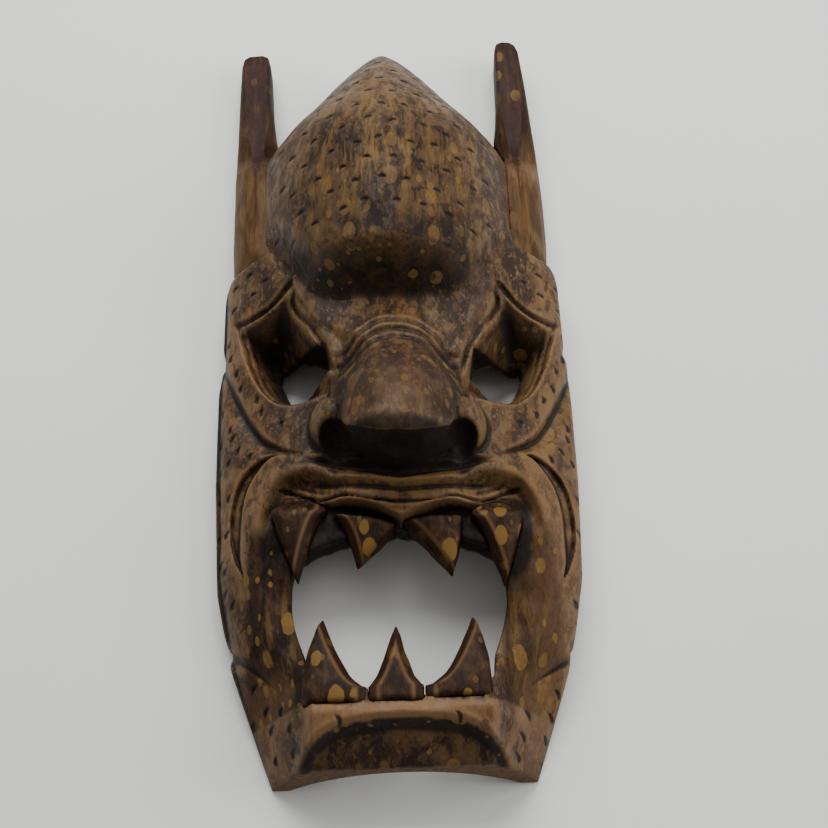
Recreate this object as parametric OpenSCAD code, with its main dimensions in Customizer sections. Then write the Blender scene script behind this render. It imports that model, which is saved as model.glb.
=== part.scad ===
// Demon wall mask of carved and lacquered wood.
// It lies on its back rim: +Z points out of the face, +Y towards the horns and +X to the viewer's right.
// The origin is under the middle of the mask, on the surface that it lies on. Millimetres.

/* [Mask] */
// Length from the chin to the tips of the horns
mask_l = 391; // [360:1:420]
// Width across the cheeks
mask_w = 162; // [152:1:172]
// Depth from the back rim to the tip of the nose
mask_d = 84; // [78:1:90]
// Thickness of the wood between the face and the hollow back
wall = 11; // [9:0.5:14]
// How far the middle of the face drops towards the viewer's right, per mm of width
skew = 0.04; // [0:0.01:0.06]
// How far the nose and the brow stand to the viewer's right of the outline's middle
middle_x = 2; // [0:0.5:3]
// How far the eye holes stand to the viewer's right
eyes_x = 3.5; // [2:0.5:4]

/* [Forehead] */
// Height of the forehead above the back rim
dome_h = 81; // [76:1:84]

/* [Horns] */
// Half-width of the forehead block where a horn is glued on
horn_seat = 58; // [57:0.5:59]
// Thickness of a horn at its ear-like foot
horn_t = 26; // [23:1:29]
// Thickness of the left horn at its tip
left_tip_t = 15.5; // [13:0.5:20]
// Thickness of the right horn at its tip
right_tip_t = 19.5; // [13:0.5:20]
// Radius of the dowels that join a horn to the forehead
dowel_r = 4; // [3:0.5:5]
// Length of a dowel
dowel_l = 22; // [18:1:22]

/* [Teeth] */
// Thickness of the teeth
tooth_t = 14; // [11:1:16]
// Glue gap round a tooth's root and a dowel
glue = 0.1; // [0.05:0.05:0.2]

/* [Hanger] */
// Width of the keyhole plate
plate_w = 17; // [16:1:20]
// Length of the keyhole plate
plate_l = 38; // [36:1:40]
// Thickness of the keyhole plate
plate_t = 2; // [1.5:0.5:3]
// Radius of the round hole that a wall screw's head goes through
entry_r = 4.5; // [4:0.25:5]
// Half-width of the slot that a wall screw's neck slides up
slot_r = 2.2; // [2:0.1:2.5]
// Radius of the plate's own screws
screw_r = 1.6; // [1.4:0.1:1.8]

/* [Hidden] */

chin_y = -mask_l / 2;
horn_tip_y = mask_l / 2;
dome_top_y = 180;
body_l = dome_top_y - chin_y;
// Grid steps of the carved front and of the hollow behind it
front_step = 5.2;
hollow_step = 7.5;
// Depth of the hollow behind the face and behind the forehead
hollow_h = 24;
dome_hollow_h = 62;
// Its depth along its edge
hollow_edge_h = 12;
// Height of the eye sockets' floor
socket_floor = 15;
// Past every edge of the outline
beyond = 4;

wood = [0.36, 0.24, 0.15];
dark_wood = [0.27, 0.16, 0.10];
tooth_wood = [0.45, 0.31, 0.20];
dowel_wood = [0.72, 0.58, 0.40];
steel = [0.62, 0.62, 0.60];

// Half-widths of the outline at the table, from the chin up to the forehead's foot
half_widths = [
    [-195.5, 55], [-165, 65.5], [-143, 73], [-111, 79], [-62, 81], [-10, 81], [5, 79.5], [38, 79],
    [45, 78.5], [48.5, 76.5]
];
// Where the forehead block narrows above the horns' seats, up to its tip
dome_outline = [
    [horn_seat, 49.3], [horn_seat, 115], [53, 127], [45, 141], [33, 155], [21, 166.5], [10, 176],
    [0, dome_top_y]
];
// Half-widths of the forehead's dome, and its height as a share of dome_h, from its foot up
dome_widths = [
    [40, 60.5], [80, 61.5], [105, 61], [116, 58], [128, 52.5], [143, 43.5], [156, 33.5], [166, 24],
    [176, 14], [184, 7]
];
dome_shares = [
    [30, 0.98], [50, 1], [70, 1], [95, 0.97], [115, 0.9], [135, 0.78], [150, 0.65], [162, 0.53],
    [172, 0.42], [186, 0.23]
];
// Where the forehead's ridge stands across the width
dome_middle = -1.5;
// How far the forehead's lower edge draws back towards the temples
visor_back = [[0, 0], [28, 1], [36, 5], [43, 15], [50, 26], [58, 36], [90, 60]];

// Height of the face's middle line without nose or forehead, from the chin up
crown_heights = [
    [-196, 31], [-177, 43], [-160, 40], [-125, 42], [-85, 47], [-40, 47], [0, 49], [24, 51], [60, 51]
];
// Height of the outline's edge above the back rim
rim_heights = [[-196, 1], [-160, 9], [-110, 14], [40, 14]];
// Nose ridge: height along the middle line, and half-width
ridge_heights = [[-70, 82], [-60, 83], [-48, 81], [-30, 73], [-9, 60], [2, 54], [14, 47], [40, 42]];
ridge_widths = [[-70, 30], [-50, 31], [-30, 30], [-9, 30], [8, 34], [24, 36]];

// Smooth step from 0 at a to 1 at b
function ease(a, b, t) = let (k = max(0, min(1, (t - a) / (b - a)))) k * k * (3 - 2 * k);
// Rounded profile, 1 in the middle and 0 at t = 1
function bulge(t, p, q) = pow(max(0, 1 - pow(min(1, abs(t)), p)), q);
function mix(a, b, k) = a + (b - a) * k;

// How much of the face's slant and shift applies at a height: none at the chin and on the forehead
function in_face(y) = ease(-195, -125, y) * (1 - ease(20, 100, y));
// The hand carver's slant: features on one side sit lower than on the other
function level(x, y) = y + skew * x * in_face(y);

function cheek(u, v) =
    mix(lookup(v, rim_heights), lookup(v, crown_heights),
        bulge(u / (lookup(v, half_widths) + 0.5), 2.2 + 2.6 * ease(-135, -180, v), 0.62));

function dome(x, y) =
    dome_h * lookup(y, dome_shares) * bulge((x - dome_middle) / lookup(y, dome_widths), 1.75, 0.55);

function nose(u, v) =
    let (
        across = u / lookup(v, ridge_widths),
        tip = -69.5 + 8.5 * pow(min(u / 21, 1.3), 2)
    )
    across > 1 ? 0 : mix(43, lookup(v, ridge_heights), bulge(across, 2.1, 0.6)) * ease(tip, tip + 5, v);

// Rounded wing beside the nose ball
function wing(u, v) =
    let (off = norm([u - 27, v + 56]) / 12)
    off > 1 ? 0 : 40 + 20 * bulge(off, 2, 0.5);

// Triangular eye socket, deepest at the eye hole
function socket(u, v) =
    let (
        a = (u - 48) / 22,
        b = (v + 8 - 0.25 * (u - 48)) / 26
    ) socket_floor + 30 * pow(norm([a, b]), 2.2);

// How far inside the ring of the lips a point lies, 1 on the ring itself
function lip_radius(u, v) = norm([u / 60, (v + 122) / 57]);

function face(u, v) =
    let (
        skin = cheek(u, v) - 9 * (1 - ease(0.72, 0.98, lip_radius(u, v))) * ease(-178, -160, v),
        featured = max(skin, nose(u, v), wing(u, v))
    ) min(featured, socket(u, v));

// The carved front, from the chin up to the forehead
function front(x, y) =
    let (
        u = abs(x - middle_x * in_face(y)),
        v = level(x, y),
        back_off = lookup(u, visor_back),
        s = ease(14 + back_off, 33 + 1.1 * back_off, y)
    ) max(1.2, mix(face(u, v), dome(x, y), s));

// The ceiling of the hollow behind the face and the forehead
function hollow(x, y) =
    let (
        u = abs(x),
        across = bulge(u / (lookup(y, half_widths) - wall), 2.4, 0.6),
        behind_face = mix(hollow_edge_h, hollow_h, across) * ease(-196, -170, y),
        off = norm([u / 48, max(0, y - 70) / 66]),
        behind_dome = mix(hollow_edge_h, dome_hollow_h, bulge(off, 2.4, 0.5)),
        open = mix(behind_face, behind_dome, ease(40, 62, y)),
        skin = wall - 4 * (1 - ease(socket_floor, 40, front(x, y)))
    ) min(open, front(x, y) - skin);

// Solid block on the table whose top follows a height function
module height_block(height, step, floor_z) {
    nx = ceil((mask_w + 2 * beyond) / step);
    ny = ceil((body_l + 2 * beyond) / step);
    x_at = function(i) (i / nx - 0.5) * (mask_w + 2 * beyond);
    y_at = function(j) chin_y - beyond + j / ny * (body_l + 2 * beyond);
    row = nx + 1;
    tops = [for (j = [0:ny]) for (i = [0:nx]) [x_at(i), y_at(j), height(x_at(i), y_at(j))]];
    // The rim of the grid, once round
    rim = concat(
        [for (i = [0:nx - 1]) i],
        [for (j = [0:ny - 1]) j * row + nx],
        [for (i = [nx:-1:1]) ny * row + i],
        [for (j = [ny:-1:1]) j * row]
    );
    count = len(tops);
    feet = [for (k = rim) [tops[k][0], tops[k][1], floor_z]];
    skin = [
        for (j = [0:ny - 1]) for (i = [0:nx - 1]) for (half = [0, 1])
        let (k = j * row + i) half == 0 ? [k, k + row, k + row + 1] : [k, k + row + 1, k + 1]
    ];
    sides = [
        for (k = [0:len(rim) - 1])
        let (n = (k + 1) % len(rim)) [rim[k], rim[n], count + n, count + k]
    ];
    base = [[for (k = [0:len(rim) - 1]) count + k]];
    polyhedron(points = concat(tops, feet), faces = concat(skin, sides, base), convexity = 6);
}

// Mirrors the right-hand points of an outline to its left side
function both_sides(right) = concat(right, [for (i = [len(right) - 1:-1:0]) [-right[i][0], right[i][1]]]);

module outline() {
    right = concat(
        [for (p = half_widths) [p[1], p[0] == half_widths[0][0] ? chin_y : p[0]]],
        dome_outline
    );
    polygon(both_sides(right));
}

// The hollow's outline at the table; it runs out through the chin
module hollow_outline() {
    face_side = [for (p = half_widths) if (p[0] < 40) [p[1] - wall, p[0]]];
    foot = [[0, chin_y - 2 * beyond], [face_side[0][0], chin_y - 2 * beyond]];
    dome_side = [[46, 50], [46, 104], [38, 120], [22, 131], [0, 134]];
    polygon(both_sides(concat(foot, face_side, dome_side)));
}

// The see-through mouth
module mouth_opening() {
    right = [
        [0, -165.5], [34, -165.5], [39, -150], [43.5, -136], [45.5, -121], [42, -106], [24, -98], [0, -94]
    ];
    translate([0, 0, -1])
        linear_extrude(mask_d)
            polygon(both_sides(right));
}

// The see-through corner of an eye socket
module eye_opening(side) {
    corners = [[31, -21], [50, -21], [56, -6], [55, -1], [33, -8]];
    translate([eyes_x, -skew * side * 42, -1])
        linear_extrude(mask_d)
            scale([side, 1])
                polygon(corners);
}

// The hollow comes out under the chin as a low arch, so that the mask rests on two corners
module chin_arch() {
    rise = 19;
    half = 47;
    r = (half * half + rise * rise) / (2 * rise);
    translate([0, chin_y - 1, rise - r])
        rotate([-90, 0, 0])
            cylinder(r = r, h = 40, $fn = 96);
}

// One side of a tooth, from its root on the X axis up its straight foot to its point; run is below 1 where
// it curves in and above 1 where it swells
function tooth_side(w, l, lean, side, run, foot) = concat(
    foot > 0 ? [[side * w / 2, 0]] : [],
    [
        for (i = [0:12])
        let (k = pow(i / 12, 1.6)) [mix(side * w / 2, lean, pow(k, run)), mix(foot, l, k)]
    ]
);

module tooth_outline(w, l, lean, runs, crown, foot) {
    left = tooth_side(w, l, lean, -1, runs[0], foot);
    right = tooth_side(w, l, lean, 1, runs[1], foot);
    polygon(concat(left, [for (i = [len(right) - 2:-1:0]) right[i]]));
    // Rounded root of a tusk
    if (crown > 0)
        intersection() {
            scale([1, 2 * crown / w])
                circle(d = w, $fn = 48);
            translate([-w, -w])
                square([2 * w, w + 0.01]);
        }
}

// A tooth is [middle of its root, width, length, lean of its point, run of its left and right sides, slope
// of its root line, length of its rounded root, length of its straight foot], and its tenon runs on into
// the wood. up is 1 for a lower tooth and -1 for an upper one.
module tooth(spec, up, grow = 0) {
    w = spec[1];
    l = spec[2];
    crown = spec[6];
    foot = spec[7];
    back = -0.45 * tooth_t;
    tenon_l = 9 + crown / 2;
    slope = [[1, 0, 0, 0], [spec[5], 1, 0, 0], [0, 0, 1, 0]];
    translate(spec[0])
        multmatrix(slope)
        scale([1, up, 1]) {
            intersection() {
                translate([0, 0, back - grow])
                    linear_extrude(tooth_t + 2 * grow)
                        if (grow > 0)
                            offset(delta = grow)
                                tooth_outline(w, l, spec[3], spec[4], crown, foot);
                        else
                            tooth_outline(w, l, spec[3], spec[4], crown, foot);
                translate([0, -crown - 1, back])
                    rotate([-90, 0, 0])
                        cylinder(r1 = 0.56 * w + grow, r2 = 0.36 * w + grow, h = l + crown + 2, $fn = 64);
            }
            translate([-0.3 * w - grow, -tenon_l - grow, back - grow])
                cube([0.6 * w + 2 * grow, tenon_l + 1, 0.38 * tooth_t + 2 * grow]);
        }
}

upper_z = 35;
lower_z = 36;
upper_left_tusk_spec = [[-41.5, -86, upper_z], 23.6, 31.5, -0.5, [1.15, 0.6], 0, 7, 0];
upper_left_fang_spec = [[-14.8, -90, upper_z], 28.6, 21.5, -2.3, [0.42, 1.12], -0.2, 0, 0];
upper_right_fang_spec = [[14.5, -91, upper_z], 26, 25.5, 8.2, [0.85, 2], 0.05, 0, 0];
upper_right_tusk_spec = [[42.5, -90, upper_z], 22.5, 32, 2, [0.65, 1.15], 0, 7, 0];
lower_left_fang_spec = [[-26.7, -173, lower_z], 25.8, 40, -5, [2, 0.56], 0, 0, 6.5];
lower_middle_fang_spec = [[-2, -173, lower_z], 22.2, 38, 0.6, [0.7, 0.6], 0, 0, 6.5];
lower_right_fang_spec = [[23.2, -172, lower_z], 26.8, 38, 7, [0.52, 2.2], 0, 0, 5.5];
upper_specs = [upper_left_tusk_spec, upper_left_fang_spec, upper_right_fang_spec, upper_right_tusk_spec];
lower_specs = [lower_left_fang_spec, lower_middle_fang_spec, lower_right_fang_spec];

// Sockets that the teeth's roots are glued into
module tooth_sockets() {
    for (spec = upper_specs)
        tooth(spec, -1, glue);
    for (spec = lower_specs)
        tooth(spec, 1, glue);
}

// The carved block before the exact holes are drilled, brought to its exact width, length and depth
module carving() {
    resize([mask_w, body_l, mask_d])
        difference() {
            intersection() {
                height_block(function(x, y) front(x, y), front_step, -beyond);
                linear_extrude(2 * mask_d)
                    outline();
            }
            intersection() {
                height_block(function(x, y) hollow(x, y), hollow_step, -2 * beyond);
                translate([0, 0, -beyond])
                    linear_extrude(mask_d)
                        hollow_outline();
            }
            mouth_opening();
            eye_opening(-1);
            eye_opening(1);
            chin_arch();
            tooth_sockets();
        }
}

dowel_ys = [78, 112];
dowel_z = 12;

// Two dowel holes across the joint at a horn's seat, or the dowels in them
module dowel_pair(side, r, l) {
    for (y = dowel_ys)
        translate([side * horn_seat - l / 2, y, dowel_z])
            rotate([0, 90, 0])
                cylinder(r = r, h = l, $fn = 48);
}

plate_y = 152;
entry_y = plate_y - 4;
slot_l = 9;
plate_screw_ys = [plate_y - plate_l / 2 + 5, plate_y + plate_l / 2 - 5];
screw_head_r = 2 * screw_r;
screw_l = 12;
pocket_depth = 12;

module plate_outline() {
    hull()
        for (y = [-1, 1])
            translate([0, plate_y + y * (plate_l - plate_w) / 2])
                circle(d = plate_w, $fn = 32);
}

module mask_body() {
    color(wood)
        difference() {
            carving();
            dowel_pair(-1, dowel_r + glue, dowel_l + 1);
            dowel_pair(1, dowel_r + glue, dowel_l + 1);
            // Recess of the keyhole plate
            translate([0, 0, -1])
                linear_extrude(plate_t + 1)
                    plate_outline();
            // Room for the wall screw's head behind the plate
            translate([0, entry_y, 0])
                cylinder(r = entry_r + 1, h = plate_t + pocket_depth, $fn = 48);
            translate([-entry_r - 1, entry_y, 0])
                cube([2 * entry_r + 2, slot_l, plate_t + pocket_depth]);
            for (y = plate_screw_ys)
                translate([0, y, 0])
                    cylinder(r = screw_r, h = screw_l + 0.5, $fn = 32);
        }
}

// Horn with its ear-like foot: flat where it meets the forehead, rounded over outside. lean_out and lean_in
// draw its outer and its inner side in towards the middle at the tip, and tip_t is the tip's thickness.
module horn(side, lean_out, lean_in, tip_t) {
    outer = [
        [horn_seat, 51.5], [64, 50.4], [70, 49.9], [73.8, 51.5], [75.6, 56], [76.6, 72], [76.6, 90],
        [75.8, 112], [74.2, 135], [72.8, 170], [71.8, 187], [70.6, 192.5], [68, 195]
    ];
    inner = [
        [63.5, horn_tip_y], [60.5, 193.5], [59.3, 188], [58, 160], [56, 140],
        [54.6, 128], [horn_seat, 125]
    ];
    // Above this height it leans in, and its front face slopes down towards the tip
    slope_y = 85;
    reach = function(y) pow(max(0, y - slope_y) / (horn_tip_y - slope_y), 1.5);
    shape = concat(
        [for (p = outer) [p[0] - lean_out * reach(p[1]), p[1]]],
        [for (p = inner) [p[0] - lean_in * reach(p[1]), p[1]]]
    );
    slope = atan((horn_t - tip_t) / (horn_tip_y - slope_y));
    // Half-width of the ear's rounded cross-section
    over_w = 19.8;
    difference() {
        intersection() {
            scale([side, 1, 1])
                linear_extrude(horn_t)
                    polygon(shape);
            // Rounds the outer and upper faces over
            translate([side * horn_seat, 0, 0])
                scale([over_w / (horn_t + 1), 1, 1])
                    rotate([-90, 0, 0])
                        cylinder(r = horn_t + 1, h = mask_l, $fn = 96);
        }
        translate([-mask_w, slope_y, horn_t])
            rotate([-slope, 0, 0])
                cube([2 * mask_w, mask_l, mask_d]);
        dowel_pair(side, dowel_r + glue, dowel_l + 1);
    }
}

module left_horn() {
    color(dark_wood)
        horn(-1, -3, 0, left_tip_t);
}

module right_horn() {
    color(dark_wood)
        horn(1, 2.5, 2.5, right_tip_t);
}

module left_horn_dowels() {
    color(dowel_wood)
        dowel_pair(-1, dowel_r, dowel_l);
}

module right_horn_dowels() {
    color(dowel_wood)
        dowel_pair(1, dowel_r, dowel_l);
}

module upper_left_tusk() {
    color(tooth_wood)
        tooth(upper_left_tusk_spec, -1);
}

module upper_left_fang() {
    color(tooth_wood)
        tooth(upper_left_fang_spec, -1);
}

module upper_right_fang() {
    color(tooth_wood)
        tooth(upper_right_fang_spec, -1);
}

module upper_right_tusk() {
    color(tooth_wood)
        tooth(upper_right_tusk_spec, -1);
}

module lower_left_fang() {
    color(tooth_wood)
        tooth(lower_left_fang_spec, 1);
}

module lower_middle_fang() {
    color(tooth_wood)
        tooth(lower_middle_fang_spec, 1);
}

module lower_right_fang() {
    color(tooth_wood)
        tooth(lower_right_fang_spec, 1);
}

module hanger_plate() {
    color(steel)
        difference() {
            linear_extrude(plate_t)
                plate_outline();
            translate([0, entry_y, -1])
                cylinder(r = entry_r, h = plate_t + 2, $fn = 64);
            // Slot that the wall screw's neck slides up as the mask is let down
            translate([-slot_r, entry_y, -1])
                cube([2 * slot_r, slot_l, plate_t + 2]);
            translate([0, entry_y + slot_l, -1])
                cylinder(r = slot_r, h = plate_t + 2, $fn = 48);
            for (y = plate_screw_ys)
                translate([0, y, 0]) {
                    cylinder(r = screw_r + 0.2, h = 3 * plate_t, $fn = 32);
                    translate([0, 0, -0.01])
                        cylinder(r1 = screw_head_r + 0.1, r2 = screw_r + 0.2, h = screw_r, $fn = 32);
                }
        }
}

// Countersunk wood screws, heads flush with the plate
module hanger_screws() {
    color(steel)
        for (y = plate_screw_ys)
            translate([0, y, 0])
                difference() {
                    union() {
                        cylinder(r1 = screw_head_r, r2 = screw_r, h = screw_r, $fn = 32);
                        cylinder(r = screw_r, h = screw_l, $fn = 32);
                    }
                    // Cross slots of the head
                    for (turn = [0, 90])
                        rotate([0, 0, turn])
                            translate([-screw_r, -0.3, -1])
                                cube([2 * screw_r, 0.6, 1.7]);
                }
}

mask_body();
left_horn();
right_horn();
left_horn_dowels();
right_horn_dowels();
upper_left_tusk();
upper_left_fang();
upper_right_fang();
upper_right_tusk();
lower_left_fang();
lower_middle_fang();
lower_right_fang();
hanger_plate();
hanger_screws();
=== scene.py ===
"""Demon wall mask of carved and lacquered wood, lying on its back rim.

The shapes are worked out in millimetres in the part's own frame: +Z out of the face, +Y towards the
horns, +X to the viewer's right. They become metres when a mesh is made.
"""
import math
from collections import namedtuple

import bpy
import numpy as np
from mathutils import Matrix, Vector


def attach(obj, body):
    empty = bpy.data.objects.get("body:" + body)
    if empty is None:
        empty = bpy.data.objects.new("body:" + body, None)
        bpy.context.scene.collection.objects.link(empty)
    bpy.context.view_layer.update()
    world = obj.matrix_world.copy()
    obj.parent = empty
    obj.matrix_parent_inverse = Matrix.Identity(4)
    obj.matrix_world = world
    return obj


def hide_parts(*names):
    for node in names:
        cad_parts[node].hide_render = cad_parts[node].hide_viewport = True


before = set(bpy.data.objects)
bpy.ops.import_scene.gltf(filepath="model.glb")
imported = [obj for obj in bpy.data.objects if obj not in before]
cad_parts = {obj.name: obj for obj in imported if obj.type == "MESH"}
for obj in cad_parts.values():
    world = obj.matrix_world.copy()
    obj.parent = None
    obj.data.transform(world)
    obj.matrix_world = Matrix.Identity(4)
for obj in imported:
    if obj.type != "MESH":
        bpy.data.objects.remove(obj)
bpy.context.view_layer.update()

MM = 0.001
# The camera looks at TARGET (in millimetres) from a distance; its angles are in degrees
TARGET = (9.0, -17.5, 0.0)
CAMERA_DISTANCE = 775.0
CAMERA_TILT = 30.0          # from straight above, towards the chin
CAMERA_ROLL = 2.0
FIELD_OF_VIEW = 28.0

# ---------------- numbers shared with the CAD part

SKEW = 0.04                 # how far the face drops towards the viewer's right
MIDDLE_X = 2.0              # where the middle line of the face runs
EYES_X = 3.5                # how far the eye holes stand to the viewer's right
WALL = 11.0                 # thickness of the wall round the hollow back
HORN_SEAT = 58.0            # distance of the horns' seats from the middle
HORN_MIDDLE = 66.0
DOWEL_YS = (78, 112)
DOWEL_Z = 12.0
DOWEL_RADIUS = 4.0
DOWEL_REACH = 11.5          # how deep the dowels go on either side of the seat
PLATE_Y, PLATE_WIDTH, PLATE_LENGTH, PLATE_THICK = 152.0, 17.0, 38.0, 2.0
TENON_LENGTH = 9.0
TOOTH_THICK = 14.0
GLUE = 0.1

# (y, half-width) of the outline at the table, from the chin up to the forehead's foot
HALF_WIDTHS = [(-195.5, 55), (-165, 65.5), (-143, 73), (-111, 79), (-62, 81), (-10, 81), (5, 79.5), (38, 79),
               (45, 78.5), (48.5, 76.5)]
# (y, height) of the face's middle line without nose or forehead, from the chin up
CROWN_HEIGHTS = [(-197, 30), (-177, 42.5), (-168, 41), (-150, 41), (-125, 42), (-85, 46), (-40, 46),
                 (0, 48), (24, 50), (60, 51)]
RIM_HEIGHTS = [(-196, 1), (-160, 8), (-110, 13), (40, 14)]

# ---------------- small maths


def ease(a, b, t):
    k = np.clip((t - a) / (b - a), 0.0, 1.0)
    return k * k * (3.0 - 2.0 * k)


def table(pairs, t, soft=6.0):
    """Straight lines between (t, value) pairs, with their corners rounded over about soft millimetres."""
    places = np.arange(-230.0, 230.0, 0.5)
    values = np.interp(places, [p[0] for p in pairs], [p[1] for p in pairs])
    if soft:
        kernel = np.hanning(int(4 * soft) + 3)
        reach = len(kernel) // 2
        padded = np.pad(values, reach, mode="edge")
        values = np.convolve(padded, kernel / kernel.sum(), "valid")
    return np.interp(t, places, values)


def bulge(t, p, q):
    """Rounded profile, 1 in the middle and 0 at t = 1."""
    return np.maximum(0.0, 1.0 - np.minimum(1.0, np.abs(t)) ** p) ** q


def mix(a, b, k):
    return a + (b - a) * k


def soft_max(a, b, r):
    """The larger of two fields, with the edge where they cross rounded over about r."""
    h = np.maximum(r - np.abs(a - b), 0.0) / r
    return np.maximum(a, b) + h * h * r * 0.25


def soft_min(a, b, r):
    return -soft_max(-a, -b, r)


def smooth_line(points, closed=False, per_span=10):
    """Catmull-Rom curve through the points."""
    p = np.array(points, float)
    n = len(p)
    if closed:
        before, after, ahead = np.roll(p, 1, 0), np.roll(p, -1, 0), np.roll(p, -2, 0)
        spans = n
    else:
        ext = np.vstack([2 * p[0] - p[1], p, 2 * p[-1] - p[-2]])
        before, p, after, ahead = ext[:-3], ext[1:-2], ext[2:-1], ext[3:]
        spans = n - 1
    t = np.linspace(0, 1, per_span, endpoint=False)[:, None]
    out = []
    for a, b, c, d in zip(before[:spans], p[:spans], after[:spans], ahead[:spans]):
        out.append(0.5 * (2 * b + (c - a) * t + (2 * a - 5 * b + 4 * c - d) * t ** 2
                          + (3 * b - a - 3 * c + d) * t ** 3))
    line = np.vstack(out)
    return line if closed else np.vstack([line, after[spans - 1][None]])


# ---------------- the carving, on a grid over the mask

STEP = 0.75
xs = np.arange(-84.0, 84.01, STEP)
ys = np.arange(-198.0, 181.0, STEP)
X, Y = np.meshgrid(xs, ys, indexing="ij")


def wander(x, y, scale, seed):
    """Smooth unevenness of a hand-carved surface, between about -1 and 1."""
    r = np.random.default_rng(seed)
    total = 0.0
    for k in range(5):
        angle, phase, stretch = r.uniform(0, math.tau), r.uniform(0, math.tau), r.uniform(0.7, 1.5)
        total = total + np.sin((x * math.cos(angle) + y * math.sin(angle)) * stretch / scale + phase)
    return total / 3.0


# The face is nearly the same on both sides; U is the distance from its middle line and V the height
# on it, and both wander a little as hand carving does.
face_share = ease(-195, -125, Y) * (1 - ease(20, 100, Y))
U = np.abs(X - MIDDLE_X * face_share + 0.5 * wander(X, Y, 17, 1))
V = Y + SKEW * X * face_share + 0.5 * wander(X, Y, 14, 2)


def both_sides(right):
    """Right-hand points of an outline carried over to its left side."""
    return right + [(-x, y) for x, y in reversed(right)]


def line_distance(line, reach):
    """Three maps for the grid points within reach of a line: their distance from it, how far along it the
    nearest place is (0 to 1), and the side on which they lie (+1 left of the line's direction)."""
    near = np.full(U.shape, 1e6)
    along = np.zeros(U.shape)
    side = np.ones(U.shape)
    steps = np.hypot(*np.diff(line, axis=0).T)
    starts = np.concatenate([[0], np.cumsum(steps)]) / steps.sum()
    lo, hi = line.min(0) - reach, line.max(0) + reach
    pick = np.nonzero((U > lo[0]) & (U < hi[0]) & (V > lo[1]) & (V < hi[1]))
    px, py = U[pick], V[pick]
    best, where, turn = near[pick], along[pick], side[pick]
    for (a, b, s, e) in zip(line[:-1], line[1:], starts[:-1], starts[1:]):
        d = b - a
        k = np.clip(((px - a[0]) * d[0] + (py - a[1]) * d[1]) / max(d @ d, 1e-9), 0, 1)
        ox, oy = px - a[0] - k * d[0], py - a[1] - k * d[1]
        dist = np.hypot(ox, oy)
        closer = dist < best
        best = np.where(closer, dist, best)
        where = np.where(closer, s + k * (e - s), where)
        turn = np.where(closer, np.sign(d[0] * oy - d[1] * ox), turn)
    near[pick], along[pick], side[pick] = best, where, turn
    return near, along, side


def outline_distance(points, px=None, py=None, smooth=True, per_span=8):
    """Signed distance to a closed outline, negative inside."""
    px = U if px is None else px
    py = V if py is None else py
    line = smooth_line(points, True, per_span) if smooth else np.array(points, float)
    best = np.full(px.shape, 1e6)
    inside = np.zeros(px.shape, bool)
    for a, b in zip(line, np.roll(line, -1, 0)):
        d = b - a
        k = np.clip(((px - a[0]) * d[0] + (py - a[1]) * d[1]) / max(d @ d, 1e-9), 0, 1)
        best = np.minimum(best, np.hypot(px - a[0] - k * d[0], py - a[1] - k * d[1]))
        crosses = (a[1] > py) != (b[1] > py)
        if a[1] != b[1]:
            inside ^= crosses & (px < a[0] + (py - a[1]) / (b[1] - a[1]) * d[0])
    return np.where(inside, -best, best)


def blurred(values, reach):
    """A map smoothed over about reach millimetres."""
    kernel = np.hanning(2 * int(reach / STEP) + 3)
    kernel /= kernel.sum()
    half = len(kernel) // 2
    out = np.pad(values, half, mode="edge")
    out = np.apply_along_axis(lambda line: np.convolve(line, kernel, "valid"), 0, out)
    return np.apply_along_axis(lambda line: np.convolve(line, kernel, "valid"), 1, out)


def fade(along, start, end):
    """0 at both ends of a line, 1 between; start and end are the shares over which it fades."""
    rise = ease(0, start, along) if start else 1.0
    return rise * (1 - ease(1 - end, 1, along) if end else 1.0)


def ridge(points, width, rise, start, end):
    """Rounded ridge along a line."""
    dist, along, _ = line_distance(smooth_line(points), 3 * width)
    return rise * np.exp(-(dist / width) ** 2) * fade(along, start, end)


def cut(points, left, right, depth, start, end):
    """V-shaped cut along a line, as wide as left and right on the two sides of the line's direction."""
    dist, along, side = line_distance(smooth_line(points), 1.1 * max(left, right))
    size = fade(along, start, end)
    width = np.where(side > 0, left, right) * np.maximum(size, 0.05)
    return -depth * size * np.clip(1 - dist / width, 0, 1)


def shifted(points, du, dv):
    """The same line, moved aside."""
    return [(u + du, v + dv) for u, v in points]


# ---------------- the masses of the face


def cheek():
    """The face without its nose, forehead and carving."""
    width = table(HALF_WIDTHS, V) + 0.5
    chin = ease(-140, -170, V)
    round_part = bulge(U / width, 2.2, 0.62)
    flat_part = np.clip((width - U) / (width - 36.0), 0, 1)
    return mix(table(RIM_HEIGHTS, V), table(CROWN_HEIGHTS, V, 1.5), mix(round_part, flat_part, chin))


# (y, half-width) and (y, height) of the forehead, and where its middle line runs
DOME_WIDTHS = [(40, 63), (80, 64), (105, 63.5), (116, 61), (124, 57.5), (135, 50.5), (150, 40.5), (165, 30),
               (174, 23), (182, 15)]
DOME_HEIGHTS = [(30, 79), (50, 81), (70, 81), (95, 78.5), (115, 72), (135, 63), (150, 53), (162, 43),
                (172, 34), (180, 26), (188, 18)]
DOME_MIDDLE_X = -1.5


def dome():
    """The egg-shaped forehead, which is more pointed towards its top end."""
    top = ease(100, 150, Y)
    across = np.abs((X - DOME_MIDDLE_X) / table(DOME_WIDTHS, Y, 4))
    profile = bulge(np.sqrt(across ** 2 + 0.004) - 0.03, mix(1.75, 1.6, top), mix(0.55, 0.8, top))
    return table(DOME_HEIGHTS, Y, 8) * profile


# (v, height) of the nose's ridge line and (v, half-width) of the nose
RIDGE_HEIGHTS = [(-70, 80), (-62, 82), (-50, 81), (-38, 77), (-25, 69), (-9, 59), (2, 54), (14, 47), (40, 42)]
RIDGE_WIDTHS = [(-84, 30), (-60, 31), (-45, 31), (-30, 30), (-20, 29), (-9, 30), (8, 37), (24, 46)]
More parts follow.
